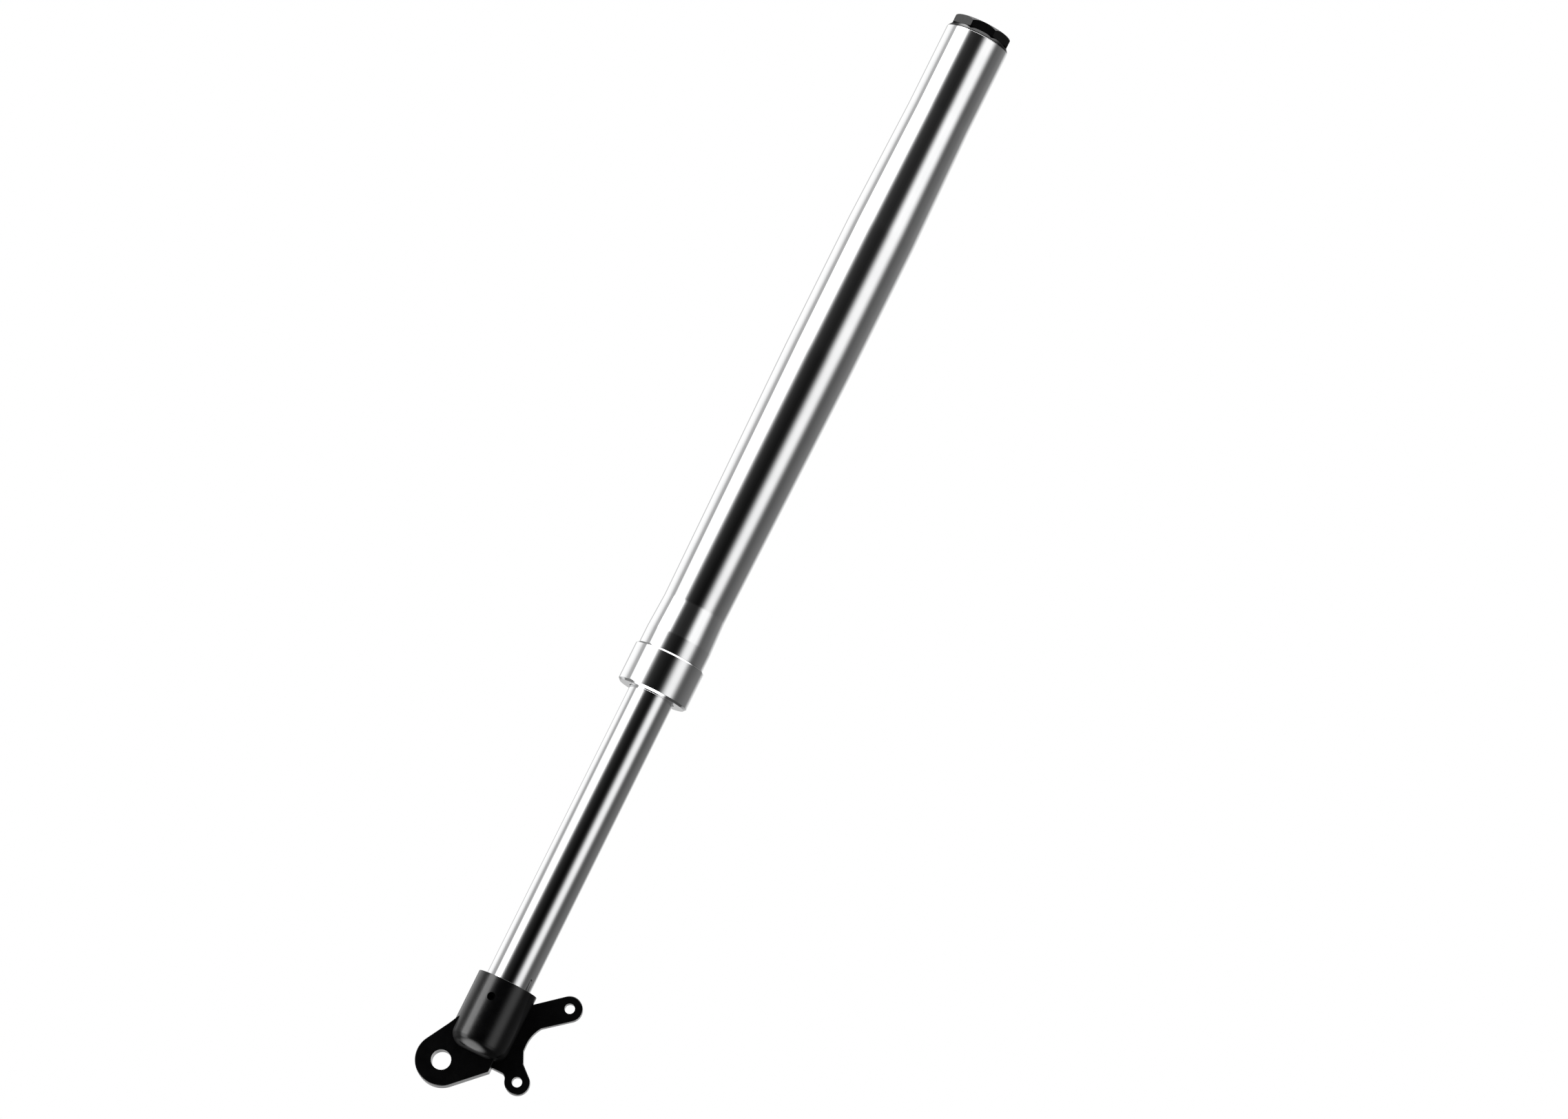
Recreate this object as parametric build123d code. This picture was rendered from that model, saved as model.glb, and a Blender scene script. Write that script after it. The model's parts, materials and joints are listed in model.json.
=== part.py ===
from build123d import *
import math
import os

# Upside-down telescopic fork leg, in millimetres.
# The origin is the centre of the axle bore, +Z runs up the leg to the cap, the axle lies along Y.
# The tubes share one axis, parallel to Z and AXLE_OFFSET away from the axle bore.

os.makedirs("parts", exist_ok=True)

# --- driving dimensions -----------------------------------------------------
AXLE_OFFSET = 17.2
AXLE_D = 14.0

INNER_OD = 33.0
INNER_ID = 28.0
INNER_BOTTOM = 21.5
INNER_TOP = 442.0

CUP_OD = 44.0
CUP_BOTTOM = 13.6
CUP_TOP = 67.8
CUP_RIM_BREAK = 0.15
CUP_EDGE_R = 10.4
CUP_HOLE_D = 5.8
CUP_HOLE_Z = 53.5
CUP_HOLE_AZIMUTH = 12.2
CUP_GROOVE_Z = (61.0, 63.2)
SOCKET_FLOOR = 16.0

COLLAR_OD = 52.2
COLLAR_BOTTOM = 291.4
COLLAR_FLOOR = 294.5
COLLAR_STEP = 305.0
WIPER_TOP = 301.0
SPIGOT_BOTTOM = 306.0
CIRCLIP_GROOVE_Z = (307.8, 309.2)
OIL_SEAL_Z = (309.3, 317.4)
BUSH_POCKET_Z = (319.0, 339.0)
TUBE_SHOULDER = 321.2
TUBE_TOP = 808.3
TUBE_BORE = 37.0
LOWER_CLAMP_D = 51.0
LOWER_CLAMP_Z = (555.9, 654.5)
UPPER_CLAMP_D = 47.0
UPPER_CLAMP_Z = 746.7
FLARE_Z = (334.2, 358.7)
MOUTH_OD = 48.6
WAIST_OD = 46.4
SPIGOT_D = 47.0
SEAL_POCKET_D = 43.0
BUSH_POCKET_D = 40.0
CAP_THREAD_D = 41.0

CAP_FLATS = 42.0
CAP_CHAMFER_SLOPE = 48.0
CAP_HEAD_BOTTOM = TUBE_TOP + 3.0
CAP_FLANGE_D = 46.2
CAP_FLANGE_KNEE = (21.5, TUBE_TOP + 2.8)
CAP_NECK_D = 41.6
CAP_FLANGE_TOP = TUBE_TOP + 3.3
CAP_TOP = TUBE_TOP + 9.5
CAP_SEAT = TUBE_TOP - 18.0
CAP_TURN = 28.0

AXLE_PLATE_T = 16.0
AXLE_PLATE_FRONT = -10.8
AXLE_BOSS_R = 18.05
BRACKET_T = 9.0
BRACKET_FRONT = 0.0
LUG_R = 8.8
LUG_HOLE_D = 7.2
UPPER_LUG = (45.8, 71.1)
LOWER_LUG = (35.6, 9.7)
EDGE_BREAK = 0.5

ROD_D = 10.0
ROD_BORE = 5.0
ROD_TOP = TUBE_TOP - 8.5
PUSH_ROD_D = 4.2
PUSH_ROD_BOTTOM = 277.0
NEEDLE_TIP = 258.5
PISTON_Z = (261.5, 275.0)
FOOT_BOTTOM = 16.2
FOOT_LEDGE = 30.0
FOOT_TOP = 37.0
BASE_VALVE_Z = (FOOT_TOP + 0.1, FOOT_TOP + 9.0)
BOLT_HEAD_Z = (47.4, 50.2)
CARTRIDGE_OD = 22.0
CARTRIDGE_ID = 20.0
CARTRIDGE_TOP = 305.0
SPRING_Z = (CARTRIDGE_TOP + 17.0, 677.0)
SPRING_WIRE = 4.0
SPRING_MEAN_R = 11.0
SPRING_TURNS = 30
TRAVEL = 200.0
SLIDE_BUSH_Z = (424.0, 440.0)
SHIM = 0.42
SHIM_GAP = 0.02
RUNNING = 0.03


# --- helpers ----------------------------------------------------------------
def on_axis(shape):
    """Moves a shape made about Z onto the tubes' common axis."""
    return Pos(AXLE_OFFSET, 0, 0) * shape


def rod(diameter, z0, z1):
    return on_axis(Pos(0, 0, (z0 + z1) / 2) * Cylinder(diameter / 2, z1 - z0))


def ring(outer_d, inner_d, z0, z1):
    return rod(outer_d, z0, z1) - rod(inner_d, z0 - 1, z1 + 1)


def turned(points):
    """Revolves a closed outline of (radius, z) points about the tubes' axis."""
    outline = make_face(Plane.XZ * Polyline(*points, close=True))
    return on_axis(revolve(outline, Axis.Z))


def o_ring(centre_d, z, section_d):
    return on_axis(Pos(0, 0, z) * Torus(centre_d / 2, section_d / 2))


def hexagon(across_flats, z0, z1):
    sketch = RegularPolygon(across_flats / 2, 6, major_radius=False)
    return on_axis(Pos(0, 0, z0) * extrude(sketch, z1 - z0))


def coil(mean_r, wire_d, z0, z1, turns):
    """A round-wire helix whose outside just reaches z0 and z1."""
    height = z1 - z0 - wire_d
    path = Helix(pitch=height / turns, height=height, radius=mean_r)
    wire = sweep(Plane(path @ 0, z_dir=path % 0) * Circle(wire_d / 2), path, is_frenet=True)
    return on_axis(Pos(0, 0, z0 + wire_d / 2) * wire)


def save(name, shape):
    if isinstance(shape, list):
        shape = Compound(shape)
    export_step(shape, "parts/" + name + ".step")


def tangent_point(centre, radius, outside, side):
    """Where a line from an outside point touches a circle; side is +1 or -1."""
    dx = outside[0] - centre[0]
    dz = outside[1] - centre[1]
    turn = math.atan2(dz, dx) + side * math.acos(radius / math.hypot(dx, dz))
    return (centre[0] + radius * math.cos(turn), centre[1] + radius * math.sin(turn))


def at_angle(centre, radius, degrees):
    turn = math.radians(degrees)
    return (centre[0] + radius * math.cos(turn), centre[1] + radius * math.sin(turn))


def plate(edges, front, thickness):
    """Extrudes an outline drawn in X and Z, backwards from its front face."""
    face = make_face([Plane.XZ * edge for edge in edges])
    solid = extrude(face, thickness, dir=(0, 1, 0))
    return Pos(0, front, 0) * solid


def cross_hole(centre, diameter):
    bore = Rot(90, 0, 0) * Cylinder(diameter / 2, 120)
    return Pos(centre[0], 0, centre[1]) * bore


def broken_edges(solid, front, thickness, length):
    """Breaks the sharp edges round both faces of a plate."""
    planes = [front, front + thickness]
    rims = [e for e in solid.edges() if any(flat_at(e, y) for y in planes)]
    return chamfer(rims, length)


def flat_at(edge, y):
    box = edge.bounding_box()
    return abs(box.min.Y - y) < 1e-4 and abs(box.max.Y - y) < 1e-4


# --- outer tube and its mouth -------------------------------------------------
def make_outer_tube():
    bore = TUBE_BORE / 2
    groove = SEAL_POCKET_D / 2 + 0.8
    outside = [
        (SPIGOT_D / 2, SPIGOT_BOTTOM),
        (SPIGOT_D / 2, TUBE_SHOULDER),
        (MOUTH_OD / 2, TUBE_SHOULDER),
        (MOUTH_OD / 2, FLARE_Z[0]),
        (WAIST_OD / 2, FLARE_Z[1]),
        (LOWER_CLAMP_D / 2, LOWER_CLAMP_Z[0]),
        (LOWER_CLAMP_D / 2, LOWER_CLAMP_Z[1]),
        (UPPER_CLAMP_D / 2, UPPER_CLAMP_Z),
        (UPPER_CLAMP_D / 2, TUBE_TOP - 0.6),
        (UPPER_CLAMP_D / 2 - 0.6, TUBE_TOP),
    ]
    inside = [
        (CAP_THREAD_D / 2, TUBE_TOP),
        (CAP_THREAD_D / 2, CAP_SEAT - 0.5),
        (bore, CAP_SEAT - 0.5),
        (bore, BUSH_POCKET_Z[1]),
        (BUSH_POCKET_D / 2, BUSH_POCKET_Z[1]),
        (BUSH_POCKET_D / 2, BUSH_POCKET_Z[0]),
        (SEAL_POCKET_D / 2, BUSH_POCKET_Z[0]),
        (SEAL_POCKET_D / 2, CIRCLIP_GROOVE_Z[1]),
        (groove, CIRCLIP_GROOVE_Z[1]),
        (groove, CIRCLIP_GROOVE_Z[0]),
        (SEAL_POCKET_D / 2, CIRCLIP_GROOVE_Z[0]),
        (SEAL_POCKET_D / 2, SPIGOT_BOTTOM),
    ]
    return turned(outside + inside)


def make_seal_collar():
    return turned([
        (COLLAR_OD / 2 - 1.5, COLLAR_BOTTOM),
        (COLLAR_OD / 2, COLLAR_BOTTOM + 1.5),
        (COLLAR_OD / 2, TUBE_SHOULDER - 1.2),
        (COLLAR_OD / 2 - 1.2, TUBE_SHOULDER),
        (SPIGOT_D / 2, TUBE_SHOULDER),
        (SPIGOT_D / 2, COLLAR_STEP),
        (SEAL_POCKET_D / 2, COLLAR_STEP),
        (SEAL_POCKET_D / 2, COLLAR_FLOOR),
        (17.0, COLLAR_FLOOR),
        (17.0, COLLAR_BOTTOM),
    ])


def make_dust_wiper():
    lip = INNER_OD / 2 + RUNNING
    low = COLLAR_FLOOR + 0.1
    return turned([
        (lip, low + 0.9),
        (lip + 0.9, low),
        (SEAL_POCKET_D / 2, low),
        (SEAL_POCKET_D / 2, WIPER_TOP),
        (lip + 1.6, WIPER_TOP),
        (lip + 0.7, low + 2.9),
        (lip, low + 1.9),
    ])


def make_oil_seal():
    lip = INNER_OD / 2 + RUNNING
    case = SEAL_POCKET_D / 2
    low, high = OIL_SEAL_Z
    return turned([
        (lip + 0.8, low),
        (case, low),
        (case, high),
        (case - 1.4, high),
        (case - 1.4, low + 3.2),
        (lip + 1.9, low + 3.2),
        (lip + 1.2, high - 1.4),
        (lip, high - 2.4),
        (lip, high - 3.2),
    ])


def make_seal_circlip():
    low, high = CIRCLIP_GROOVE_Z
    whole = ring(SEAL_POCKET_D + 1.4, 38.0, low + 0.1, high - 0.1)
    gap = on_axis(Pos(0, 20, low) * Box(9, 8, 4))
    return whole - gap


save("outer_tube", make_outer_tube())
save("seal_collar", make_seal_collar())
save("dust_wiper", make_dust_wiper())
save("seal_circlip", make_seal_circlip())
save("oil_seal", make_oil_seal())
save("seal_washer", ring(SEAL_POCKET_D, 34.0, OIL_SEAL_Z[1] + 0.1, BUSH_POCKET_Z[0] - 0.1))
save("guide_bush", ring(BUSH_POCKET_D, INNER_OD + 2 * RUNNING, BUSH_POCKET_Z[0], BUSH_POCKET_Z[1] - 0.1))


# --- top cap and rebound adjuster ----------------------------------------------
ADJUSTER_D = 13.6
BLEED_X = 14.5
CAP_RING_Z = TUBE_TOP - 5.5
STEM_RING_Z = TUBE_TOP - 2.5


def cap_head():
    """The octagon spanner grip, its corners cut back by a cone as on a nut."""
    grip = CAP_FLATS / 2
    corner = grip + 3.0
    cone_low = CAP_TOP - (corner - grip) * math.tan(math.radians(CAP_CHAMFER_SLOPE))
    octagon = RegularPolygon(grip, 8, major_radius=False, rotation=CAP_TURN)
    prism = Pos(0, 0, CAP_HEAD_BOTTOM) * extrude(octagon, CAP_TOP - CAP_HEAD_BOTTOM)
    envelope = turned([
        (0, CAP_HEAD_BOTTOM), (corner, CAP_HEAD_BOTTOM), (corner, cone_low), (grip, CAP_TOP), (0, CAP_TOP),
    ])
    return on_axis(prism) & envelope


def cap_plug():
    """The threaded plug, its O-ring groove and the coned flange over the tube's end."""
    thread = CAP_THREAD_D / 2
    return turned([
        (0, CAP_SEAT),
        (thread, CAP_SEAT),
        (thread, CAP_RING_Z - 1.2),
        (thread - 1.5, CAP_RING_Z - 1.2),
        (thread - 1.5, CAP_RING_Z + 1.2),
        (thread, CAP_RING_Z + 1.2),
        (thread, TUBE_TOP),
        (CAP_FLANGE_D / 2, TUBE_TOP),
        (CAP_FLANGE_D / 2, TUBE_TOP + 0.25),
        CAP_FLANGE_KNEE,
        (CAP_NECK_D / 2, CAP_FLANGE_TOP),
        (0, CAP_FLANGE_TOP),
    ])


def make_top_cap():
    body = cap_head() + cap_plug()
    body -= rod(ROD_D, CAP_SEAT - 1, ROD_TOP)
    body -= rod(6.6, ROD_TOP - 1, CAP_TOP)
    body -= rod(ADJUSTER_D + 0.8, CAP_TOP - 5, CAP_TOP + 1)
    body -= ring(9.4, 6.0, STEM_RING_Z - 1, STEM_RING_Z + 1)
    bleed = Pos(BLEED_X, 0, 0)
    body -= bleed * rod(8.4, CAP_TOP - 4, CAP_TOP + 1)
    body -= bleed * rod(5.0, CAP_TOP - 11, CAP_TOP - 3)
    return body


def make_adjuster():
    knob = rod(ADJUSTER_D, CAP_TOP - 4.6, CAP_TOP - 0.4) + rod(6.0, ROD_TOP + 0.6, CAP_TOP - 4.6)
    slot = on_axis(Pos(0, 0, CAP_TOP - 0.8) * Box(9.0, 1.6, 2.4))
    knob = knob - slot
    flute = Pos(ADJUSTER_D / 2 + 0.1, 0, CAP_TOP - 2.5) * Cylinder(0.5, 6)
    flutes = [on_axis(Rot(0, 0, 360 * i / 12) * flute) for i in range(12)]
    return knob - flutes - ring(7.0, 4.4, STEM_RING_Z - 0.9, STEM_RING_Z + 0.9)


def make_bleed_screw():
    screw = rod(5.0, CAP_TOP - 10, CAP_TOP - 2.9) + rod(8.0, CAP_TOP - 2.9, CAP_TOP - 0.6)
    screw = Pos(BLEED_X, 0, 0) * screw
    slot = Pos(AXLE_OFFSET + BLEED_X, 0, CAP_TOP - 0.8) * Box(1.2, 9, 1.6)
    return screw - slot


save("top_cap", make_top_cap())
save("cap_o_ring", o_ring(CAP_THREAD_D - 1.5, CAP_RING_Z, 1.4))
save("rebound_adjuster", make_adjuster())
save("adjuster_o_ring", o_ring(5.4, STEM_RING_Z, 0.9))
save("bleed_screw", make_bleed_screw())
save("bleed_o_ring", Pos(BLEED_X, 0, 0) * o_ring(6.4, CAP_TOP - 3.45, 0.9))


# --- damper rod, piston and what hangs under the cap ------------------------------
HEAD_TOP = CARTRIDGE_TOP + 14.0
NUT_TOP = PISTON_Z[0] - 0.1
WINDOW_Z = 740.0
BUMP_Z = (HEAD_TOP + TRAVEL + 2.5, HEAD_TOP + TRAVEL + 24.5)


def make_piston():
    low, high = PISTON_Z
    body = ring(19.3, 8.0, low, high) - ring(21.0, 17.6, low + 3.8, high - 3.3)
    ports = [on_axis(Rot(0, 0, 60 * i) * Pos(6.7, 0, low + 6.5) * Cylinder(1.1, 30)) for i in range(6)]
    return body - ports


def make_rod():
    step = PISTON_Z[1] + 1.8
    tip = PISTON_Z[0] - 10.5
    shaft = rod(ROD_D, step, ROD_TOP) + rod(8.0, tip, step + 0.2)
    shaft -= rod(ROD_BORE, tip + 4, ROD_TOP + 1)
    shaft -= rod(2.4, tip - 1, tip + 5)
    ports = [on_axis(Rot(0, 0, 90 * i) * Pos(0, 0, step + 10) * Rot(90, 0, 0) * Cylinder(0.9, 14))
             for i in range(2)]
    return shaft - ports


def make_preload_tube():
    tube = ring(24.0, 20.5, SPRING_Z[1] + 8, CAP_SEAT)
    windows = [on_axis(Pos(0, 0, WINDOW_Z) * Rot(0, 0, 90 * i) * Rot(90, 0, 0) * Cylinder(4.0, 30))
               for i in range(2)]
    return tube - windows


def make_needle():
    shank = PUSH_ROD_D / 2
    top = PUSH_ROD_BOTTOM - 0.1
    return turned([
        (0, NEEDLE_TIP), (0.5, NEEDLE_TIP), (shank, NEEDLE_TIP + 6.5), (shank, top), (0, top),
    ])


def shim_stack(bottom, diameter, step, bore):
    """Three thin discs, each smaller than the one below."""
    return [
        ring(diameter - step * i, bore, bottom + SHIM * i + SHIM_GAP, bottom + SHIM * (i + 1) - SHIM_GAP)
        for i in range(3)
    ]


def make_spring_seat():
    outline = [
        (6.0, -3.0), (8.6, -3.0), (8.6, 0.0), (13.6, 0.0), (13.6, 6.0),
        (12.0, 8.0), (9.0, 8.0), (9.0, 4.0), (6.0, 4.0),
    ]
    return turned([(r, SPRING_Z[1] + z) for r, z in outline])


def make_bump_stop():
    outline = [
        (6.1, 0.0), (7.6, 0.0), (8.4, 2.5), (8.4, 7.0), (7.4, 9.5), (8.4, 12.0),
        (8.4, 17.0), (7.4, 19.5), (7.8, 22.0), (6.1, 22.0),
    ]
    return turned([(r, BUMP_Z[0] + z) for r, z in outline])


save("damper_rod", make_rod())
save("rod_lock_nut", hexagon(16.0, CAP_SEAT - 6.5, CAP_SEAT - 0.1) - rod(ROD_D, CAP_SEAT - 8, CAP_SEAT + 1))
save("preload_tube", make_preload_tube())
save("upper_spring_seat", make_spring_seat())
save("spring_guide", ring(15.4, 12.2, BUMP_Z[1], SPRING_Z[1] - 3.1))
save("bump_stop", make_bump_stop())
save("main_spring", coil(SPRING_MEAN_R, SPRING_WIRE, SPRING_Z[0], SPRING_Z[1], SPRING_TURNS))
save("damper_piston", make_piston())
save("piston_ring", ring(CARTRIDGE_ID - 2 * RUNNING, 17.7, PISTON_Z[0] + 4.0, PISTON_Z[1] - 3.5))
save("rebound_shims", shim_stack(PISTON_Z[1], 17.2, 2.6, 8.0))
save("piston_nut", hexagon(12.0, NUT_TOP - 7.4, NUT_TOP) - rod(8.0, NUT_TOP - 9, NUT_TOP + 1))
save("top_out_spring", coil(6.9, 1.6, PISTON_Z[1] + 3.0, CARTRIDGE_TOP - 12.5, 5))
save("rebound_push_rod", rod(PUSH_ROD_D, PUSH_ROD_BOTTOM, ROD_TOP + 0.2))
save("rebound_needle", make_needle())
save("slide_bush", ring(TUBE_BORE - 0.08, INNER_OD + 2 * RUNNING, *SLIDE_BUSH_Z))


# --- damper cartridge in the lower leg ----------------------------------------------
PORT_Z = FOOT_LEDGE - 2.5
BOLT_BOTTOM = 20.0


def make_cartridge_foot():
    foot = turned([
        (0, FOOT_BOTTOM), (6.4, FOOT_BOTTOM), (7.0, FOOT_BOTTOM + 0.6), (7.0, INNER_BOTTOM),
        (13.8, INNER_BOTTOM), (13.8, FOOT_LEDGE), (CARTRIDGE_ID / 2, FOOT_LEDGE),
        (CARTRIDGE_ID / 2, FOOT_TOP), (0, FOOT_TOP),
    ])
    ports = [on_axis(Rot(0, 0, 90 * i) * Pos(0, 0, PORT_Z) * Rot(90, 0, 0) * Cylinder(1.5, 34))
             for i in range(2)]
    well = rod(14.0, FOOT_LEDGE - 5.0, FOOT_TOP + 1.0) + rod(6.0, BOLT_BOTTOM - 1.0, FOOT_LEDGE - 4.0)
    return foot - ports - well


def make_base_valve():
    valve = ring(CARTRIDGE_ID - 0.1, 6.0, *BASE_VALVE_Z)
    ports = [on_axis(Rot(0, 0, 60 * i) * Pos(6.6, 0, BASE_VALVE_Z[0]) * Cylinder(1.2, 30)) for i in range(6)]
    return valve - ports


def make_cartridge_head():
    top = CARTRIDGE_TOP
    head = turned([
        (6.6, top - 11.5), (CARTRIDGE_ID / 2, top - 11.5), (CARTRIDGE_ID / 2, top),
        (12.2, top), (12.2, top + 12.0), (10.5, HEAD_TOP), (8.0, HEAD_TOP), (8.0, top + 9.0),
        (6.6, top + 9.0),
    ])
    return head - ring(18.0, 15.0, top + 12.6, top + 13.6)


def make_rod_seal():
    lip = ROD_D / 2 + RUNNING
    low = CARTRIDGE_TOP + 9.1
    return turned([
        (lip, low), (8.0, low), (8.0, low + 3.2), (lip + 1.2, low + 3.2), (lip + 0.4, low + 2.4),
        (lip, low + 1.6),
    ])


def make_head_circlip():
    whole = ring(17.6, 12.0, CARTRIDGE_TOP + 12.7, CARTRIDGE_TOP + 13.5)
    return whole - on_axis(Pos(8, 0, CARTRIDGE_TOP + 13) * Box(6, 5, 3))


def make_lower_seat():
    return ring(27.2, 16.6, HEAD_TOP, SPRING_Z[0]) + ring(27.2, 24.6, HEAD_TOP - 8, HEAD_TOP + 1)


save("cartridge_tube", ring(CARTRIDGE_OD, CARTRIDGE_ID, FOOT_LEDGE, CARTRIDGE_TOP))
save("cartridge_foot", make_cartridge_foot())
save("base_valve", make_base_valve())
save("base_shims", shim_stack(BASE_VALVE_Z[1], 17.0, 2.4, 6.0))
save("base_valve_bolt", rod(6.0, BOLT_BOTTOM, BOLT_HEAD_Z[0]) + hexagon(10.0, *BOLT_HEAD_Z))
save("cartridge_head", make_cartridge_head())
save("rod_guide_bush", ring(13.2, ROD_D + 2 * RUNNING, CARTRIDGE_TOP - 11.5, CARTRIDGE_TOP + 9.0))
save("rod_seal", make_rod_seal())
save("head_circlip", make_head_circlip())
save("lower_spring_seat", make_lower_seat())


# --- inner tube and axle cup ---------------------------------------------------------
TUBE_RING_Z = (422.0, 440.6)


def make_inner_tube():
    tube = ring(INNER_OD, INNER_ID, INNER_BOTTOM, INNER_TOP)
    grooves = [ring(INNER_OD + 1, INNER_OD - 1.6, z, z + 1.2) for z in TUBE_RING_Z]
    dimple = radial_hole(CUP_HOLE_D - 0.3, INNER_OD / 2 - 0.8, INNER_OD / 2 + 5)
    return tube - grooves - dimple


def radial_hole(diameter, r0, r1):
    """A round plug pointing out of the cup's small side hole, from radius r0 to r1."""
    plug = Pos(0, -(r0 + r1) / 2, 0) * Rot(90, 0, 0) * Cylinder(diameter / 2, r1 - r0)
    return on_axis(Pos(0, 0, CUP_HOLE_Z) * Rot(0, 0, -CUP_HOLE_AZIMUTH) * plug)


def cup_outside():
    side = CUP_OD / 2
    low = (side - CUP_EDGE_R, CUP_BOTTOM)
    high = (side, CUP_BOTTOM + CUP_EDGE_R)
    straight = Polyline(
        low, (0, CUP_BOTTOM), (0, CUP_TOP), (side - CUP_RIM_BREAK, CUP_TOP),
        (side, CUP_TOP - CUP_RIM_BREAK), high,
    )
    corner = RadiusArc(low, high, -CUP_EDGE_R)
    outline = make_face([Plane.XZ * straight, Plane.XZ * corner])
    return on_axis(revolve(outline, Axis.Z))


def make_axle_cup():
    cup = cup_outside() - rod(INNER_OD, INNER_BOTTOM, CUP_TOP + 1)
    cup -= rod(14.0, SOCKET_FLOOR, INNER_BOTTOM + 1)
    cup -= radial_hole(CUP_HOLE_D, INNER_OD / 2 - 1, CUP_OD / 2 + 2)
    return cup - ring(INNER_OD + 2.6, INNER_OD - 1, *CUP_GROOVE_Z)


def make_axle_plate():
    """The thick plate under the cup that carries the wheel axle."""
    centre = (0, 0)
    corner = (AXLE_OFFSET + 15.65, 6.7)
    low = tangent_point(centre, AXLE_BOSS_R, corner, -1)
    shoulder = (AXLE_OFFSET - 23.9, 24.5)
    high = tangent_point(centre, AXLE_BOSS_R, shoulder, 1)
    root = (AXLE_OFFSET - 20.2, 32.0)
    top = (AXLE_OFFSET - 17.0, 36.0)
    edges = [
        ThreePointArc(high, at_angle(centre, AXLE_BOSS_R, 220), low),
        Line(low, corner),
        Line(corner, (corner[0], 24.0)),
        Line((corner[0], 24.0), top),
        Line(top, root),
        ThreePointArc(root, (AXLE_OFFSET - 21.8, 28.6), shoulder),
        Line(shoulder, high),
    ]
    return plate(edges, AXLE_PLATE_FRONT, AXLE_PLATE_T), corner[0]


def make_caliper_bracket(left):
    """The rear plate whose two lugs carry the brake calliper."""
    x = AXLE_OFFSET
    upper = (x + UPPER_LUG[0], UPPER_LUG[1])
    lower = (x + LOWER_LUG[0], LOWER_LUG[1])
    arm_top = (x + 20.0, 61.1)
    arm_low = (x + 34.2, 50.4)
    knee = (x + 33.8, 23.0)
    a = tangent_point(upper, LUG_R, arm_top, -1)
    b = tangent_point(upper, LUG_R, arm_low, 1)
    c = tangent_point(lower, LUG_R, knee, -1)
    d = at_angle(lower, LUG_R, 195)
    waist = (x + 29.8, 36.0)
    bend = (x + 23.0, 10.6)
    edges = [
        Line((left, 10.6), (left, 61.1)),
        Line((left, 61.1), arm_top),
        Line(arm_top, a),
        ThreePointArc(a, at_angle(upper, LUG_R, -10), b),
        Line(b, arm_low),
        TangentArc(waist, arm_low, tangent=(0, 1)),
        Line(waist, (x + 30.0, 31.0)),
        Line((x + 30.0, 31.0), knee),
        Line(knee, c),
        ThreePointArc(c, at_angle(lower, LUG_R, -60), d),
        TangentArc(bend, d, tangent=(1, 0)),
        Line(bend, (left, 10.6)),
    ]
    return plate(edges, BRACKET_FRONT, BRACKET_T)


cup_block = cup_outside()
axle_plate, plate_end = make_axle_plate()
bracket = make_caliper_bracket(plate_end)
axle_plate = broken_edges(axle_plate, AXLE_PLATE_FRONT, AXLE_PLATE_T, EDGE_BREAK)
axle_plate -= cross_hole((0, 0), AXLE_D)
bracket = broken_edges(bracket, BRACKET_FRONT, BRACKET_T, EDGE_BREAK)
for lug in (UPPER_LUG, LOWER_LUG):
    bracket -= cross_hole((AXLE_OFFSET + lug[0], lug[1]), LUG_HOLE_D)

save("inner_tube", make_inner_tube())
save("bush_circlips", [
    ring(INNER_OD + 1.2, INNER_OD - 1.5, z + 0.05, z + 1.15) - on_axis(Pos(17, 0, z) * Box(6, 4, 4))
    for z in TUBE_RING_Z
])
save("axle_cup", make_axle_cup())
save("axle_plate", axle_plate - cup_block)
save("caliper_bracket", bracket - cup_block - axle_plate)
save("cup_o_ring", o_ring(INNER_OD + 1.3, sum(CUP_GROOVE_Z) / 2, 1.25))
save("cup_set_screw", radial_hole(CUP_HOLE_D - 0.4, INNER_OD / 2 - 0.7, 18.6) - radial_hole(2.6, 17.2, 20.0))
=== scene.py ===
import json
import math

import bpy
from mathutils import Matrix, Vector


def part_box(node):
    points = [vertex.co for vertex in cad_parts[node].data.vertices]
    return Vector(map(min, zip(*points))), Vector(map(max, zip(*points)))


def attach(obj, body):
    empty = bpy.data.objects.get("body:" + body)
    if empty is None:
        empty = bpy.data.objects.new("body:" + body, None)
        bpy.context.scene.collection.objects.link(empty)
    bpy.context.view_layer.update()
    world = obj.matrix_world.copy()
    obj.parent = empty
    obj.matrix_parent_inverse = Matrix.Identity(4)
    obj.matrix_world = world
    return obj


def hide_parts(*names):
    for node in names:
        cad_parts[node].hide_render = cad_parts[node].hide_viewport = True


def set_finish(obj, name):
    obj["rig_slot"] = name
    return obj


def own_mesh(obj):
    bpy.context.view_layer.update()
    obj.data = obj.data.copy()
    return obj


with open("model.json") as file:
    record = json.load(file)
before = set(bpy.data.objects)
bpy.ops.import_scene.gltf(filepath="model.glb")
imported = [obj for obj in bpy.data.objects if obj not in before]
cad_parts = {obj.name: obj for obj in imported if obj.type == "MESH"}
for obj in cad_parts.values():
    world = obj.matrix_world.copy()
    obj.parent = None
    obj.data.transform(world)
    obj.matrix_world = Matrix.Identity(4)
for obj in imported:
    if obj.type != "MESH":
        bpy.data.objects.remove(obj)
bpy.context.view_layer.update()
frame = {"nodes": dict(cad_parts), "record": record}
MM = 0.001


# --- places read from the frame ------------------------------------------------
def span(node):
    """Lowest and highest z of a CAD node, in metres."""
    low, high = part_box(node)
    return low.z, high.z


def radius(node):
    """Half the width of a round CAD node, in metres."""
    low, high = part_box(node)
    return (high.x - low.x) / 2


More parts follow.
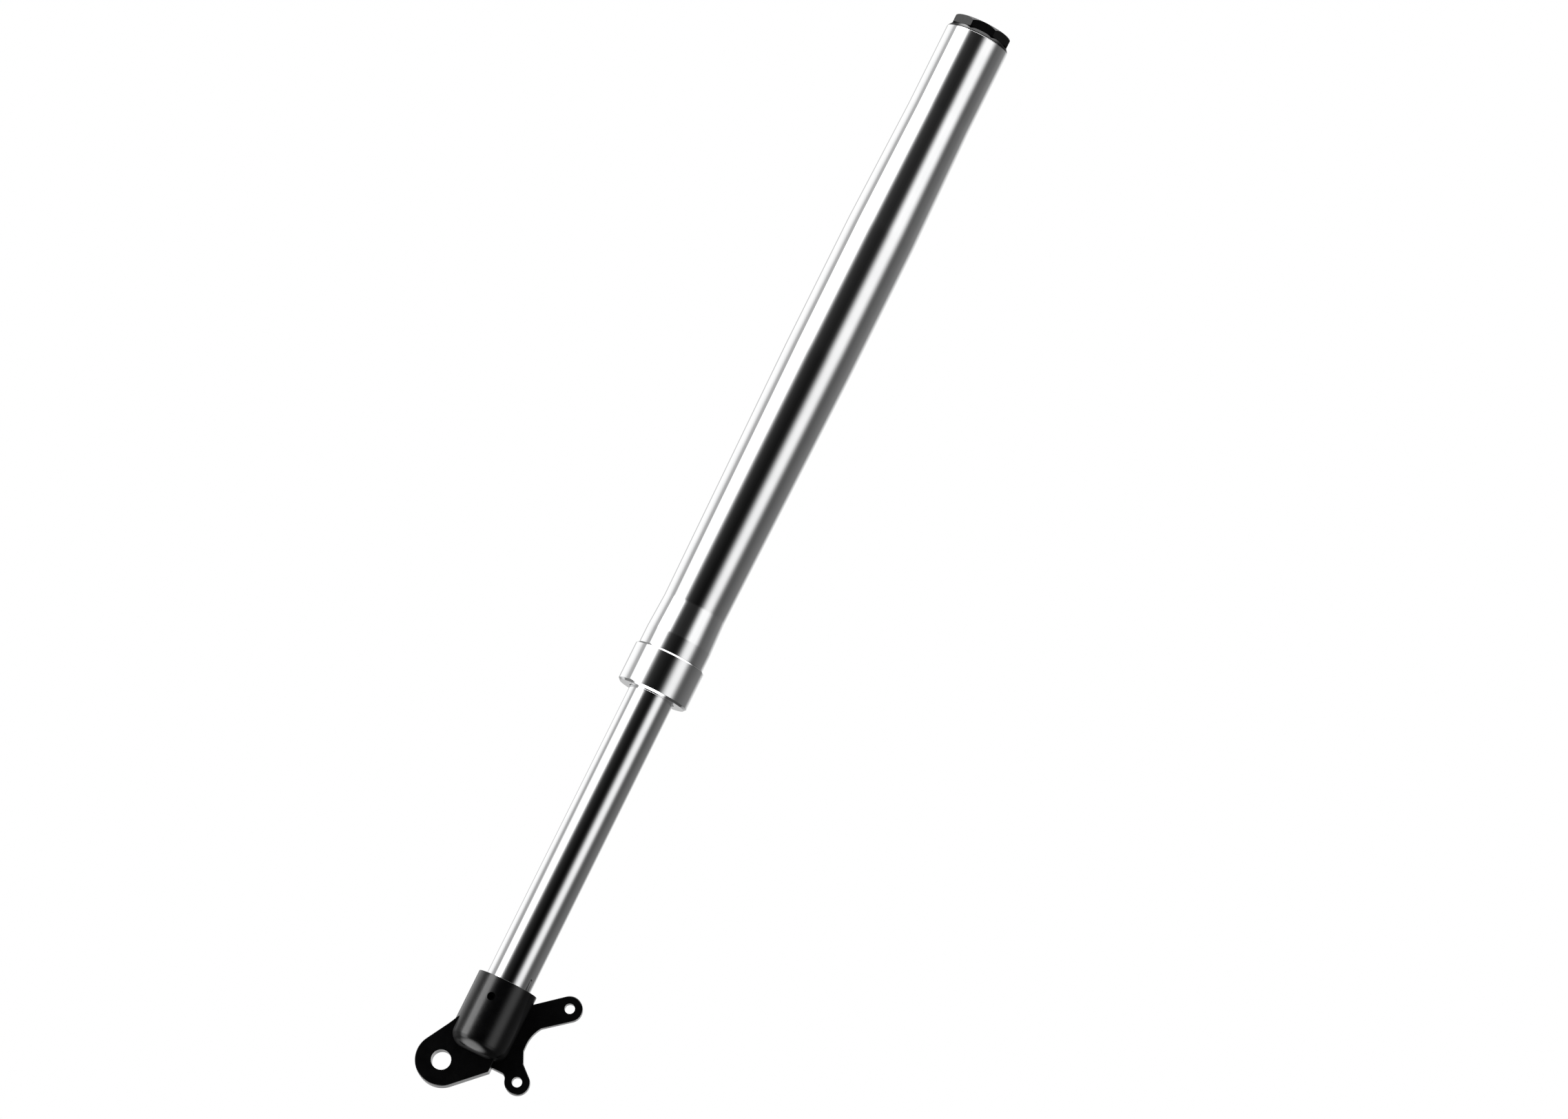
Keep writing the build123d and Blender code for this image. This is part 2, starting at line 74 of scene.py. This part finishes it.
tube_low, tube_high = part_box("inner_tube")
AXIS_X = (tube_low.x + tube_high.x) / 2
TUBE_Z = span("inner_tube")
TUBE_R = radius("inner_tube")
OUTER_Z = span("outer_tube")
OUTER_R = radius("outer_tube")
COLLAR_Z = span("seal_collar")
COLLAR_R = radius("seal_collar")
CUP_Z = span("axle_cup")
CUP_R = radius("axle_cup")
CAP_Z = span("top_cap")
CAP_R = radius("top_cap")

# --- sizes that part.py gives and that no box in the frame shows ---------------------
SPIGOT_R = 23.5 * MM
CLAMP_R = 23.5 * MM
SEAL_POCKET_R = 21.5 * MM
PLUG_R = 20.5 * MM
CUP_CORNER_R = 10.4 * MM
CUP_GROOVE_R = 17.8 * MM
CUP_FLOOR_Z = 16 * MM
CUP_HOLE_R = 2.9 * MM
CUP_HOLE_Z = 53.5 * MM
CUP_HOLE_AZIMUTH = -12.2
CAP_GRIP_R = 21.0 * MM
CAP_SLOPE = 48
CAP_TURN = 28
BLEED_HOLE_R = 4.2 * MM
BLEED_HOLE_OUT = 14.5 * MM

SEGMENTS = 192
SHARP_ANGLE = math.radians(32)


# --- mesh helpers ----------------------------------------------------------------
def shade(mesh):
    """Shades a mesh smooth, with an edge wherever its faces turn sharply."""
    for polygon in mesh.polygons:
        polygon.use_smooth = True
    mesh.set_sharp_from_angle(angle=SHARP_ANGLE)


def piece(name, verts, faces, body, slot, replaced):
    """Makes a mesh piece that rides on a CAD body and stands for one CAD node."""
    mesh = bpy.data.meshes.new(name)
    mesh.from_pydata(verts, [], faces)
    mesh.validate()
    shade(mesh)
    obj = bpy.data.objects.new(name, mesh)
    bpy.context.scene.collection.objects.link(obj)
    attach(obj, body)
    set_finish(obj, slot)
    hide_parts(replaced)
    return obj


def eased(points, cut, steps=5):
    """Rounds the corners of an outline; cut is one length, or one for each point.

    An extra point on each side of a rounded corner keeps the long faces beside it evenly shaded.
    """
    beside = 0.2 * MM
    cuts = cut if isinstance(cut, (list, tuple)) else [cut] * len(points)
    out = []
    count = len(points)
    for i, here in enumerate(points):
        here = Vector(here)
        if cuts[i] <= 0:
            out.append(here)
            continue
        before = Vector(points[i - 1]) - here
        after = Vector(points[(i + 1) % count]) - here
        a = here + before.normalized() * min(cuts[i], before.length * 0.4)
        b = here + after.normalized() * min(cuts[i], after.length * 0.4)
        out.append(here + before.normalized() * min(cuts[i] + beside, before.length * 0.45))
        for k in range(steps + 1):
            t = k / steps
            out.append(a * (1 - t) ** 2 + here * 2 * t * (1 - t) + b * t ** 2)
        out.append(here + after.normalized() * min(cuts[i] + beside, after.length * 0.45))
    return out


def lathed(name, outline, body, slot, replaced, closed=True):
    """Turns an outline of (radius, z) about the tubes' axis."""
    verts = []
    rings = []
    for r, z in outline:
        if r < 1e-7:
            rings.append([len(verts)] * SEGMENTS)
            verts.append((AXIS_X, 0, z))
            continue
        rings.append(list(range(len(verts), len(verts) + SEGMENTS)))
        for k in range(SEGMENTS):
            turn = 2 * math.pi * k / SEGMENTS
            verts.append((AXIS_X + r * math.cos(turn), r * math.sin(turn), z))
    faces = []
    pairs = [(i, i + 1) for i in range(len(rings) - 1)]
    if closed:
        pairs.append((len(rings) - 1, 0))
    for i, j in pairs:
        for k in range(SEGMENTS):
            n = (k + 1) % SEGMENTS
            loop = [rings[i][k], rings[i][n], rings[j][n], rings[j][k]]
            loop = [v for m, v in enumerate(loop) if v not in loop[:m]]
            if len(loop) > 2:
                faces.append(loop)
    return piece(name, verts, faces, body, slot, replaced)


# --- materials ---------------------------------------------------------------------
def new_material(name):
    material = bpy.data.materials.new(name)
    material.use_nodes = True
    return material, material.node_tree, material.node_tree.nodes["Principled BSDF"]


def noise(tree, scale, stretch=(1, 1, 1), detail=4):
    """Noise in the object's own space, in metres, stretched along its axes."""
    place = tree.nodes.new("ShaderNodeTexCoord")
    mapping = tree.nodes.new("ShaderNodeMapping")
    mapping.inputs["Scale"].default_value = stretch
    texture = tree.nodes.new("ShaderNodeTexNoise")
    texture.inputs["Scale"].default_value = scale
    texture.inputs["Detail"].default_value = detail
    tree.links.new(place.outputs["Object"], mapping.inputs["Vector"])
    tree.links.new(mapping.outputs["Vector"], texture.inputs["Vector"])
    return texture.outputs["Fac"]


def mapped(tree, value, low, high):
    """Spreads the middle of a noise over the range from low to high."""
    node = tree.nodes.new("ShaderNodeMapRange")
    node.inputs["From Min"].default_value = 0.3
    node.inputs["From Max"].default_value = 0.7
    node.inputs["To Min"].default_value = low
    node.inputs["To Max"].default_value = high
    tree.links.new(value, node.inputs["Value"])
    return node.outputs["Result"]


def tinted(tree, shader, value, dark, light):
    """Mottles the base colour between a dark and a light tone."""
    ramp = tree.nodes.new("ShaderNodeValToRGB")
    ramp.color_ramp.elements[0].position = 0.35
    ramp.color_ramp.elements[1].position = 0.65
    ramp.color_ramp.elements[0].color = (*dark, 1)
    ramp.color_ramp.elements[1].color = (*light, 1)
    tree.links.new(value, ramp.inputs["Fac"])
    tree.links.new(ramp.outputs["Color"], shader.inputs["Base Color"])


def bumped(tree, shader, value, height):
    """Raises surface marks of a height in metres."""
    bump = tree.nodes.new("ShaderNodeBump")
    bump.inputs["Distance"].default_value = height
    bump.inputs["Strength"].default_value = 1.0
    tree.links.new(value, bump.inputs["Height"])
    tree.links.new(bump.outputs["Normal"], shader.inputs["Normal"])


def finish_material(
        name, dark, light, metallic, rough, tint, marks, height, stretch=(1, 1, 1), shine=0.5):
    """A surface with mottled colour, patchy gloss and fine surface marks.

    rough is its lowest and highest roughness. tint and marks are noise scales per metre. height
    is the depth of the marks in metres, and stretch draws them out along an axis. shine is the
    strength of a non-metal's mirror reflection.
    """
    material, tree, shader = new_material(name)
    shader.inputs["Metallic"].default_value = metallic
    shader.inputs["IOR"].default_value = 1.58
    shader.inputs["Specular IOR Level"].default_value = shine
    tinted(tree, shader, noise(tree, tint), dark, light)
    patches = mapped(tree, noise(tree, tint * 2.3), rough[0], rough[1])
    tree.links.new(patches, shader.inputs["Roughness"])
    bumped(tree, shader, noise(tree, marks, stretch, 6), height)
    return material


ROUND_THE_TUBE = (0.04, 0.04, 1.0)
ALONG_THE_TUBE = (1.0, 1.0, 0.03)
MATERIALS = {
    "chrome_tube": finish_material(
        "chrome_tube", (0.93, 0.935, 0.94), (0.97, 0.97, 0.975), 1.0, (0.025, 0.055), 60, 2600, 1.5e-7,
        ROUND_THE_TUBE),
    "black_paint": finish_material(
        "black_paint", (0.0035, 0.0035, 0.0038), (0.006, 0.006, 0.0064), 0.0, (0.17, 0.22), 140, 1700, 5e-6),
    "black_anodised": finish_material(
        "black_anodised", (0.004, 0.004, 0.0044), (0.007, 0.007, 0.0076), 0.0, (0.20, 0.26), 220, 4200, 2e-6),
    "black_oxide": finish_material(
        "black_oxide", (0.0015, 0.0015, 0.0015), (0.003, 0.003, 0.003), 0.0, (0.55, 0.75), 300, 5200, 4e-6,
        shine=0.05),
    "rubber_black": finish_material(
        "rubber_black", (0.010, 0.010, 0.010), (0.020, 0.020, 0.020), 0.0, (0.62, 0.80), 300, 2400, 2e-5),
    "steel": finish_material(
        "steel", (0.42, 0.43, 0.45), (0.60, 0.61, 0.63), 1.0, (0.22, 0.38), 260, 5200, 3e-6, ROUND_THE_TUBE),
    "rod_chrome": finish_material(
        "rod_chrome", (0.80, 0.81, 0.83), (0.90, 0.91, 0.92), 1.0, (0.06, 0.14), 120, 5200, 6e-7,
        ALONG_THE_TUBE),
    "spring_steel": finish_material(
        "spring_steel", (0.035, 0.038, 0.046), (0.10, 0.11, 0.13), 0.9, (0.28, 0.46), 420, 3600, 8e-6),
    "aluminium": finish_material(
        "aluminium", (0.62, 0.63, 0.64), (0.78, 0.79, 0.80), 1.0, (0.20, 0.34), 180, 4800, 3e-6,
        ROUND_THE_TUBE),
    "bush_ptfe": finish_material(
        "bush_ptfe", (0.16, 0.13, 0.085), (0.34, 0.27, 0.16), 0.5, (0.38, 0.55), 500, 3000, 6e-6),
    "plastic_white": finish_material(
        "plastic_white", (0.66, 0.65, 0.60), (0.78, 0.77, 0.73), 0.0, (0.36, 0.50), 160, 1900, 5e-6),
    "needle_brass": finish_material(
        "needle_brass", (0.55, 0.40, 0.16), (0.76, 0.60, 0.30), 1.0, (0.18, 0.30), 300, 5200, 2e-6,
        ROUND_THE_TUBE),
}


def paint(obj, slot):
    """Gives a piece or a CAD node the material of its slot."""
    obj.data.materials.clear()
    obj.data.materials.append(MATERIALS[slot])


# --- chromed tubes -------------------------------------------------------------------
def make_outer_tube():
    """The chromed tube: spigot, mouth, flare, long taper, lower clamp, cone and upper clamp."""
    bottom, top = OUTER_Z
    shoulder = COLLAR_Z[1]
    bore = 18.5 * MM
    foot = 24.3 * MM
    waist = 23.2 * MM
    bush_top = bottom + 33.0 * MM
    thread_bottom = top - 18.5 * MM
    outline = [
        (SPIGOT_R, bottom),
        (SPIGOT_R, shoulder),
        (foot, shoulder),
        (foot, shoulder + 13.0 * MM),
        (waist, shoulder + 37.5 * MM),
        (OUTER_R, top - 252.4 * MM),
        (OUTER_R, top - 153.8 * MM),
        (CLAMP_R, top - 61.6 * MM),
        (CLAMP_R, top),
        (PLUG_R, top),
        (PLUG_R, thread_bottom),
        (bore, thread_bottom),
        (bore, bush_top),
        (SEAL_POCKET_R, bush_top),
        (SEAL_POCKET_R, bottom),
    ]
    cuts = [size * MM for size in (0, 0, 0.4, 0.6, 0.9, 4, 4, 3, 0.5, 0.3, 0, 0, 0, 0, 0)]
    return lathed("outer_tube_chrome", eased(outline, cuts), "outer", "chrome_tube", "outer_tube")


def make_collar():
    """The seal collar: a chamfered sleeve with a step for the spigot and a floor round the tube."""
    low, high = COLLAR_Z
    lip = 17.0 * MM
    floor = low + 3.1 * MM
    step = high - 15.6 * MM
    lower_chamfer = 1.5 * MM
    upper_chamfer = 1.2 * MM
    outline = [
        (lip, low),
        (COLLAR_R - lower_chamfer, low),
        (COLLAR_R, low + lower_chamfer),
        (COLLAR_R, high - upper_chamfer),
        (COLLAR_R - upper_chamfer, high),
        (SPIGOT_R, high),
        (SPIGOT_R, step),
        (SEAL_POCKET_R, step),
        (SEAL_POCKET_R, floor),
        (lip, floor),
    ]
    cuts = [size * MM for size in (0.25, 0.15, 0.15, 0.15, 0.15, 0, 0, 0, 0, 0)]
    sleeve = eased(outline, cuts, steps=3)
    return lathed("seal_collar_chrome", sleeve, "outer", "chrome_tube", "seal_collar")


def make_inner_tube():
    low, high = TUBE_Z
    bore = 14 * MM
    outline = [(bore, low), (TUBE_R, low), (TUBE_R, high), (bore, high)]
    return lathed("inner_tube_chrome", eased(outline, 0.4 * MM), "leg", "chrome_tube", "inner_tube")


# --- axle cup and cap --------------------------------------------------------------------
def bored(obj, start, end, hole_r):
    """Cuts a round hole from one point to another through a mesh piece."""
    sides = 96
    start, end = Vector(start), Vector(end)
    turn = (end - start).to_track_quat("Z", "Y").to_matrix().to_4x4()
    mesh = bpy.data.meshes.new("cutter")
    verts = []
    for z in (0, (end - start).length):
        for k in range(sides):
            a = 2 * math.pi * k / sides
            verts.append(start + turn @ Vector((hole_r * math.cos(a), hole_r * math.sin(a), z)))
    faces = [(k, (k + 1) % sides, sides + (k + 1) % sides, sides + k) for k in range(sides)]
    faces += [tuple(reversed(range(sides))), tuple(range(sides, 2 * sides))]
    mesh.from_pydata(verts, [], faces)
    cutter = bpy.data.objects.new("cutter", mesh)
    bpy.context.scene.collection.objects.link(cutter)
    cut = obj.modifiers.new("hole", "BOOLEAN")
    cut.operation = "DIFFERENCE"
    cut.solver = "EXACT"
    cut.object = cutter
    bpy.context.view_layer.update()
    result = bpy.data.meshes.new_from_object(obj.evaluated_get(bpy.context.evaluated_depsgraph_get()))
    obj.modifiers.remove(cut)
    bpy.data.objects.remove(cutter)
    obj.data = result
    shade(result)


def direction(azimuth, elevation=0.0):
    """A unit vector; azimuth 0 is the part's front and grows towards +X."""
    a = math.radians(azimuth)
    e = math.radians(elevation)
    return Vector((math.sin(a) * math.cos(e), -math.cos(a) * math.cos(e), math.sin(e)))


CUP_HOLE_MIDDLE = Vector((AXIS_X, 0, CUP_HOLE_Z))
CUP_HOLE_WAY = direction(CUP_HOLE_AZIMUTH)


def make_cup():
    """The black cup round the foot of the inner tube, with a rounded bottom and a side hole."""
    low, high = CUP_Z
    rim_break = 0.15 * MM
    groove_top, groove_bottom = high - 4.6 * MM, high - 6.8 * MM
    floor_r = 7 * MM
    arc_steps = 32
    middle_z = low + CUP_CORNER_R
    outline = [(0, low)]
    for k in range(arc_steps + 1):
        turn = math.radians(-90 + 90 * k / arc_steps)
        outline.append((
            CUP_R - CUP_CORNER_R + CUP_CORNER_R * math.cos(turn), middle_z + CUP_CORNER_R * math.sin(turn)))
    outline += [
        (CUP_R, middle_z + 0.3 * MM), (CUP_R, high - 0.4 * MM),
        (CUP_R, high - rim_break), (CUP_R - rim_break, high), (TUBE_R, high),
        (TUBE_R, groove_top), (CUP_GROOVE_R, groove_top), (CUP_GROOVE_R, groove_bottom),
        (TUBE_R, groove_bottom), (TUBE_R, TUBE_Z[0]), (floor_r, TUBE_Z[0]), (floor_r, CUP_FLOOR_Z),
        (0, CUP_FLOOR_Z),
    ]
    cup = lathed("axle_cup_black", outline, "leg", "black_paint", "axle_cup", closed=False)
    inside, outside = 15 * MM, 26 * MM
    start = CUP_HOLE_MIDDLE + CUP_HOLE_WAY * inside
    end = CUP_HOLE_MIDDLE + CUP_HOLE_WAY * outside
    bored(cup, start, end, CUP_HOLE_R)
    return cup


def paint_shade_in_hole(cup):
    """Paints shade into the set screw's hole: its wall gets the screw's near-black, dull black_oxide
    material, darker than the cup's paint.
    """
    cup.data.materials.append(MATERIALS["black_oxide"])
    for polygon in cup.data.polygons:
        offset = polygon.center - CUP_HOLE_MIDDLE
        along = offset.dot(CUP_HOLE_WAY)
        near = (offset - CUP_HOLE_WAY * along).length < CUP_HOLE_R + 0.1 * MM
        if near and along > TUBE_R and abs(polygon.normal.dot(CUP_HOLE_WAY)) < 0.2:
            # painted shade: these wall faces take the near-black material so the recess reads dark
            polygon.material_index = 1


def make_cap():
    """The octagonal cap: a coned octagon on a coned flange, over the threaded plug."""
    low, high = CAP_Z
    rim = OUTER_Z[1]
    slope = math.tan(math.radians(CAP_SLOPE))
    pocket = 7.2 * MM
    pocket_z = high - 5 * MM
    bore = 5 * MM
    groove = 19.0 * MM
    groove_bottom, groove_top = rim - 6.7 * MM, rim - 4.3 * MM
    head_z = rim + 3.0 * MM
    verts = []
    for k in range(SEGMENTS):
        wide = CAP_GRIP_R / math.cos(2 * math.pi * (k % (SEGMENTS // 8)) / SEGMENTS - math.pi / 8)
        column = [
            (pocket, pocket_z), (pocket, high), (CAP_GRIP_R, high),
            (wide, high - (wide - CAP_GRIP_R) * slope), (wide, head_z),
            (20.95 * MM, head_z), (21.25 * MM, rim + 2.95 * MM), (21.5 * MM, rim + 2.75 * MM),
            (21.75 * MM, rim + 2.4 * MM), (CAP_R - 0.08 * MM, rim + 0.7 * MM),
            (CAP_R, rim + 0.5 * MM), (CAP_R, rim), (PLUG_R, rim),
            (PLUG_R, groove_top), (groove, groove_top), (groove, groove_bottom), (PLUG_R, groove_bottom),
            (PLUG_R, low), (bore, low), (bore, pocket_z),
        ]
        turn = math.radians(CAP_TURN) + 2 * math.pi * k / SEGMENTS
        verts += [(AXIS_X + r * math.cos(turn), r * math.sin(turn), z) for r, z in column]
    rows = len(column)
    faces = []
    for k in range(SEGMENTS):
        here, there = k * rows, (k + 1) % SEGMENTS * rows
        for i in range(rows):
            j = (i + 1) % rows
            faces.append((there + i, here + i, here + j, there + j))
    cap = piece("top_cap_black", verts, faces, "outer", "black_anodised", "top_cap")
    bleed_x = AXIS_X + BLEED_HOLE_OUT
    bored(cap, (bleed_x, 0, high - 4 * MM), (bleed_x, 0, high + 2 * MM), BLEED_HOLE_R)
    return cap


# --- main spring -------------------------------------------------------------------------
def make_spring():
    """The coiled main spring, a helix of wire between the ends of the CAD spring."""
    low, high = span("main_spring")
    wire = 2.0 * MM
    coil_r = 11.0 * MM
    turns = 30
    steps, sides = 40, 12
    verts = []
    faces = []
    count = turns * steps
    rise = (high - low - 2 * wire) / count
    for i in range(count + 1):
        turn = 2 * math.pi * i / steps
        out = Vector((math.cos(turn), math.sin(turn), 0))
        centre = Vector((AXIS_X, 0, low + wire + rise * i)) + out * coil_r
        for k in range(sides):
            around = 2 * math.pi * k / sides
            verts.append(centre + (out * math.cos(around) + Vector((0, 0, math.sin(around)))) * wire)
    for i in range(count):
        for k in range(sides):
            n = (k + 1) % sides
            faces.append((i * sides + k, (i + 1) * sides + k, (i + 1) * sides + n, i * sides + n))
    faces.append(tuple(range(sides)))
    faces.append(tuple(count * sides + k for k in reversed(range(sides))))
    spring = piece("main_spring_coil", verts, faces, "outer", "spring_steel", "main_spring")
    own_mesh(spring)
    return spring


cup = make_cup()
for obj in (make_outer_tube(), make_collar(), make_inner_tube(), cup, make_cap(), make_spring()):
    paint(obj, obj["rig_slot"])
# Painted shade: the wall of the cup's side hole is made near-black.
paint_shade_in_hole(cup)

slot_of = {row["node"]: row["material_slot"] for row in frame["record"]["subparts"]}
for name, obj in frame["nodes"].items():
    paint(obj, slot_of[name])


# --- camera, floor and light -----------------------------------------------------------------
CAMERA_AZIMUTH = 5.5
CAMERA_ELEVATION = -8.15
CAMERA_ROLL = 26.369
CAMERA_DISTANCE = 5.9613
CAMERA_LENS = 197.08
CAMERA_TARGET = Vector((AXIS_X + 40.59 * MM, 0, 417.37 * MM))


def make_camera():
    """A long lens below the middle of the leg, rolled so that the leg leans as it does in the photo."""
    data = bpy.data.cameras.new("camera")
    data.lens = CAMERA_LENS
    data.sensor_width = 36
    data.clip_end = 100
    camera = bpy.data.objects.new("camera", data)
    bpy.context.scene.collection.objects.link(camera)
    back = direction(CAMERA_AZIMUTH, CAMERA_ELEVATION)
    right = Vector((0, 0, 1)).cross(back).normalized()
    up = back.cross(right)
    roll = math.radians(CAMERA_ROLL)
    right, up = right * math.cos(roll) + up * math.sin(roll), up * math.cos(roll) - right * math.sin(roll)
    place = Matrix((right, up, back)).transposed().to_4x4()
    place.translation = CAMERA_TARGET + back * CAMERA_DISTANCE
    camera.matrix_world = place
    bpy.context.scene.camera = camera


def make_floor():
    """A plain pale floor, far enough down to stay out of the photo's view."""
    half = 14.0
    z = -1.3
    mesh = bpy.data.meshes.new("floor")
    corners = [(-half, -half, z), (half, -half, z), (half, half, z), (-half, half, z)]
    mesh.from_pydata(corners, [], [(0, 1, 2, 3)])
    floor = bpy.data.objects.new("floor", mesh)
    bpy.context.scene.collection.objects.link(floor)
    material, _, shader = new_material("floor_pale")
    shader.inputs["Base Color"].default_value = (0.92, 0.92, 0.92, 1)
    shader.inputs["Roughness"].default_value = 0.9
    mesh.materials.append(material)
    floor.visible_glossy = False
    floor.visible_diffuse = False


# Soft boxes and black flags stand round the part: (azimuth from the camera, brightness).
# They stand wider apart low down than high up, so there is one ring for each height.
HIGH_RING = [
    (-180, 0.85), (-168, 0.60), (-157, 0.60), (-148, 1.15), (-122, 1.0), (-113, 0.84), (-104, 0.46),
    (-93, 0.44), (-88, 3.4), (-50, 3.4), (-44, 1.4), (-40, 0.64), (-35, 0.20), (-29, 0.056), (-23, 0.034),
    (-12, 0.022), (0, 0.018), (8, 0.024), (12, 0.05), (17, 0.16), (23, 0.51), (29, 0.88), (34, 1.02),
    (53, 1.0), (60, 0.76), (67, 0.38), (73, 0.16), (80, 0.105), (104, 0.14), (132, 0.24), (145, 0.60),
    (160, 0.85), (180, 0.92),
]
LOW_RING = [
    (-180, 0.85), (-168, 0.56), (-157, 0.56), (-148, 1.10), (-122, 1.0), (-113, 0.82), (-104, 0.47),
    (-92, 0.34), (-86, 0.40), (-80, 1.2), (-77, 3.9), (-55, 3.9), (-50, 1.0), (-45, 0.44), (-40, 0.17),
    (-35, 0.066), (-29, 0.027), (-20, 0.014), (-10, 0.007), (0, 0.003), (8, 0.005), (13, 0.016),
    (17, 0.042), (23, 0.17), (29, 0.45), (35, 0.74), (41, 0.88), (48, 0.89), (54, 0.78), (60, 0.48),
    (67, 0.19), (74, 0.10), (84, 0.09), (104, 0.13), (136, 0.18), (151, 0.52), (164, 0.78), (180, 0.85),
]
RING_HEIGHTS = (0.09, 0.21)
BRIGHTEST = 4.0
OVERHEAD = 2.2
# The rings are repeated below the horizon, dimmer, so that the tubes look the same from above.
REPEAT_SHARE = 0.60
REPEAT_LIFT = 0.03


def make_studio():
    """Lights the part by direction: rings round it, a light overhead, a key light and a pool below."""
    world = bpy.data.worlds.new("studio")
    world.use_nodes = True
    bpy.context.scene.world = world
    tree = world.node_tree
    nodes, link = tree.nodes, tree.links.new
    nodes.clear()

    def plug(socket, value):
        if isinstance(value, (int, float, tuple)):
            socket.default_value = value
        else:
            link(value, socket)

    def calc(operation, a, b=0.0):
        node = nodes.new("ShaderNodeMath")
        node.operation = operation
        plug(node.inputs[0], a)
        plug(node.inputs[1], b)
        return node.outputs["Value"]

    def ramp(value, start, end, low=0.0, high=1.0, smooth=True):
        node = nodes.new("ShaderNodeMapRange")
        node.interpolation_type = "SMOOTHSTEP" if smooth else "LINEAR"
        plug(node.inputs["Value"], value)
        for key, number in zip(("From Min", "From Max", "To Min", "To Max"), (start, end, low, high)):
            node.inputs[key].default_value = number
        return node.outputs["Result"]

    def blend(factor, a, b):
        node = nodes.new("ShaderNodeMix")
        plug(node.inputs[0], factor)
        plug(node.inputs[2], a)
        plug(node.inputs[3], b)
        return node.outputs[0]

    def ring_light(share, ring):
        node = nodes.new("ShaderNodeFloatCurve")
        points = node.mapping.curves[0].points
        while len(points) < len(ring):
            points.new(0.5, 0.5)
        for point, (azimuth, light) in zip(points, ring):
            point.location = ((azimuth + 180) / 360, light / BRIGHTEST)
            point.handle_type = "VECTOR"
        node.mapping.update()
        plug(node.inputs["Value"], share)
        return calc("MULTIPLY", node.outputs["Value"], BRIGHTEST)

    place = nodes.new("ShaderNodeTexCoord")
    turn = nodes.new("ShaderNodeMapping")
    turn.inputs["Rotation"].default_value = (0, 0, math.radians(-CAMERA_AZIMUTH))
    link(place.outputs["Generated"], turn.inputs["Vector"])
    split = nodes.new("ShaderNodeSeparateXYZ")
    link(turn.outputs["Vector"], split.inputs["Vector"])
    across, away, height = split.outputs

    def glow(centre, spread, brightness):
        """A soft round patch of light; centre and spread are its steps across and away."""
        side = calc("MULTIPLY", calc("SUBTRACT", across, centre[0]), 1 / spread[0])
        depth = calc("MULTIPLY", calc("SUBTRACT", away, centre[1]), 1 / spread[1])
        reach = calc("ADD", calc("MULTIPLY", side, side), calc("MULTIPLY", depth, depth))
        return ramp(reach, 0.35, 1.8, brightness, 0.0)

    share = ramp(calc("ARCTAN2", across, calc("MULTIPLY", away, -1.0)), -math.pi, math.pi, smooth=False)
    low_ring = ring_light(share, LOW_RING)
    rings = blend(ramp(height, *RING_HEIGHTS, smooth=False), low_ring, ring_light(share, HIGH_RING))
    pool = glow((-0.20, -0.24), (0.50, 0.48), 3.3)
    key = glow((-0.52, 0.16), (0.13, 0.24), 5.0)
    key = calc("MULTIPLY", key, ramp(height, 0.4, 0.6))
    upper = calc("MULTIPLY", rings, ramp(height, 0.24, 0.40, 1.0, 0.25))
    above = calc("ADD", blend(ramp(height, 0.75, 0.93), upper, OVERHEAD), key)
    ground = calc("ADD", pool, ramp(across, -0.6, 0.0, 0.20, 0.06))
    repeated = calc("ADD", calc("MULTIPLY", low_ring, REPEAT_SHARE), REPEAT_LIFT)
    below = blend(ramp(height, -0.54, -0.47), ground, repeated)

    horizon = calc("SUBTRACT", height, calc("MULTIPLY", away, 0.06))
    light = blend(ramp(horizon, -0.16, -0.09), below, above)

    seen = nodes.new("ShaderNodeLightPath")
    background = nodes.new("ShaderNodeBackground")
    output = nodes.new("ShaderNodeOutputWorld")
    link(blend(seen.outputs["Is Camera Ray"], light, 1.0), background.inputs["Strength"])
    background.inputs["Color"].default_value = (1, 1, 1, 1)
    link(background.outputs["Background"], output.inputs["Surface"])
    world.cycles.sampling_method = "MANUAL"
    world.cycles.sample_map_resolution = 1024


make_camera()
make_floor()
make_studio()
bpy.context.scene.view_settings.view_transform = "Standard"
